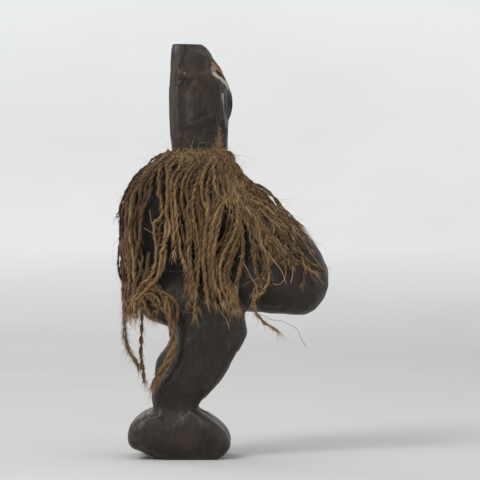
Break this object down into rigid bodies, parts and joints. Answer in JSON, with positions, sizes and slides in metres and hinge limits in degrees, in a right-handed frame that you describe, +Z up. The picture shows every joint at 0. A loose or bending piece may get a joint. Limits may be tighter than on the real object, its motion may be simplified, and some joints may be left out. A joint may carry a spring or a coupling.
{
  "type": "fertility doll",
  "caption": "Standing carved wooden fertility doll with a full round belly and bent knees, wearing a cape of loose fibre locks knotted to a cord around its neck.",
  "frame": {"origin": "middle of the object's box, on the plane of the soles", "axes": "+Z up along the standing figure, +X the way it faces, -Y its right side"},
  "size_m": [0.1269, 0.0708, 0.25],
  "materials": {
    "dark_wood": "hand-carved hardwood, dark stained and rubbed to a dull sheen, worn paler on the edges, with small touches of cream, black and orange paint on the face",
    "raw_fibre": "loosely twisted raw bast fibre, matt and frizzy",
    "dark_cord": "thin dark twisted cord, matt"
  },
  "bodies": {
    "carving": {"carved_figure": "dark_wood", "neck_cord": "dark_cord", "collar_knots": "raw_fibre", "neck_cord_knot": "dark_cord", "neck_cord_tail": "raw_fibre"},
    "fringe_right_1": {"cape_lock_right_01": "raw_fibre", "cape_lock_right_02": "raw_fibre"},
    "fringe_right_2": {"cape_lock_right_03": "raw_fibre", "cape_lock_right_04": "raw_fibre", "strand_over_belly": "raw_fibre"},
    "fringe_right_3": {"cape_lock_right_05": "raw_fibre", "cape_lock_right_06": "raw_fibre", "strand_below_belly": "raw_fibre"},
    "fringe_right_4": {"cape_lock_right_07": "raw_fibre", "cape_lock_right_08": "raw_fibre"},
    "fringe_right_5": {"cape_lock_right_09": "raw_fibre", "cape_lock_right_10": "raw_fibre"},
    "fringe_right_6": {"cape_lock_right_11": "raw_fibre", "cape_lock_right_12": "raw_fibre", "strand_hip": "raw_fibre", "strand_back": "raw_fibre"},
    "fringe_right_7": {"cape_lock_right_13": "raw_fibre", "cape_lock_right_14": "raw_fibre", "strand_back_frayed": "raw_fibre"},
    "fringe_right_8": {"cape_lock_right_15": "raw_fibre", "cape_lock_right_16": "raw_fibre"},
    "fringe_left_1": {"cape_lock_left_01": "raw_fibre", "cape_lock_left_02": "raw_fibre"},
    "fringe_left_2": {"cape_lock_left_03": "raw_fibre", "cape_lock_left_04": "raw_fibre"},
    "fringe_left_3": {"cape_lock_left_05": "raw_fibre", "cape_lock_left_06": "raw_fibre"},
    "fringe_left_4": {"cape_lock_left_07": "raw_fibre", "cape_lock_left_08": "raw_fibre"},
    "fringe_left_5": {"cape_lock_left_09": "raw_fibre", "cape_lock_left_10": "raw_fibre"},
    "fringe_left_6": {"cape_lock_left_11": "raw_fibre", "cape_lock_left_12": "raw_fibre"},
    "fringe_left_7": {"cape_lock_left_13": "raw_fibre", "cape_lock_left_14": "raw_fibre"},
    "fringe_left_8": {"cape_lock_left_15": "raw_fibre", "cape_lock_left_16": "raw_fibre"}
  },
  "joints": [
    {"name": "fringe_right_1_lift", "type": "hinge", "parent": "carving", "child": "fringe_right_1", "pos_m": [0.00444, -0.00303, 0.1787], "axis": [-0.1564, -0.9877, 0], "range_deg": [0, 60]},
    {"name": "fringe_right_2_lift", "type": "hinge", "parent": "carving", "child": "fringe_right_2", "pos_m": [0.00292, -0.00917, 0.1787], "axis": [-0.4617, -0.887, 0], "range_deg": [0, 60]},
    {"name": "fringe_right_3_lift", "type": "hinge", "parent": "carving", "child": "fringe_right_3", "pos_m": [-0.00095, -0.01554, 0.1787], "axis": [-0.749, -0.6626, 0], "range_deg": [0, 60]},
    {"name": "fringe_right_4_lift", "type": "hinge", "parent": "carving", "child": "fringe_right_4", "pos_m": [-0.00954, -0.01743, 0.1787], "axis": [-0.9588, -0.284, 0], "range_deg": [0, 60]},
    {"name": "fringe_right_5_lift", "type": "hinge", "parent": "carving", "child": "fringe_right_5", "pos_m": [-0.01816, -0.01782, 0.1787], "axis": [-0.9816, 0.1908, 0], "range_deg": [0, 60]},
    {"name": "fringe_right_6_lift", "type": "hinge", "parent": "carving", "child": "fringe_right_6", "pos_m": [-0.0275, -0.01526, 0.1787], "axis": [-0.766, 0.6428, 0], "range_deg": [0, 60]},
    {"name": "fringe_right_7_lift", "type": "hinge", "parent": "carving", "child": "fringe_right_7", "pos_m": [-0.03624, -0.01039, 0.1787], "axis": [-0.4344, 0.9007, 0], "range_deg": [0, 60]},
    {"name": "fringe_right_8_lift", "type": "hinge", "parent": "carving", "child": "fringe_right_8", "pos_m": [-0.03742, -0.00329, 0.1787], "axis": [-0.1435, 0.9897, 0], "range_deg": [0, 60]},
    {"name": "fringe_left_1_lift", "type": "hinge", "parent": "carving", "child": "fringe_left_1", "pos_m": [0.00444, 0.00303, 0.1787], "axis": [0.1564, -0.9877, 0], "range_deg": [0, 60]},
    {"name": "fringe_left_2_lift", "type": "hinge", "parent": "carving", "child": "fringe_left_2", "pos_m": [0.00292, 0.00917, 0.1787], "axis": [0.4617, -0.887, 0], "range_deg": [0, 60]},
    {"name": "fringe_left_3_lift", "type": "hinge", "parent": "carving", "child": "fringe_left_3", "pos_m": [-0.00095, 0.01554, 0.1787], "axis": [0.749, -0.6626, 0], "range_deg": [0, 60]},
    {"name": "fringe_left_4_lift", "type": "hinge", "parent": "carving", "child": "fringe_left_4", "pos_m": [-0.00954, 0.01743, 0.1787], "axis": [0.9588, -0.284, 0], "range_deg": [0, 60]},
    {"name": "fringe_left_5_lift", "type": "hinge", "parent": "carving", "child": "fringe_left_5", "pos_m": [-0.01816, 0.01782, 0.1787], "axis": [0.9816, 0.1908, 0], "range_deg": [0, 60]},
    {"name": "fringe_left_6_lift", "type": "hinge", "parent": "carving", "child": "fringe_left_6", "pos_m": [-0.0275, 0.01526, 0.1787], "axis": [0.766, 0.6428, 0], "range_deg": [0, 60]},
    {"name": "fringe_left_7_lift", "type": "hinge", "parent": "carving", "child": "fringe_left_7", "pos_m": [-0.03624, 0.01039, 0.1787], "axis": [0.4344, 0.9007, 0], "range_deg": [0, 60]},
    {"name": "fringe_left_8_lift", "type": "hinge", "parent": "carving", "child": "fringe_left_8", "pos_m": [-0.03742, 0.00329, 0.1787], "axis": [0.1435, 0.9897, 0], "range_deg": [0, 60]}
  ]
}
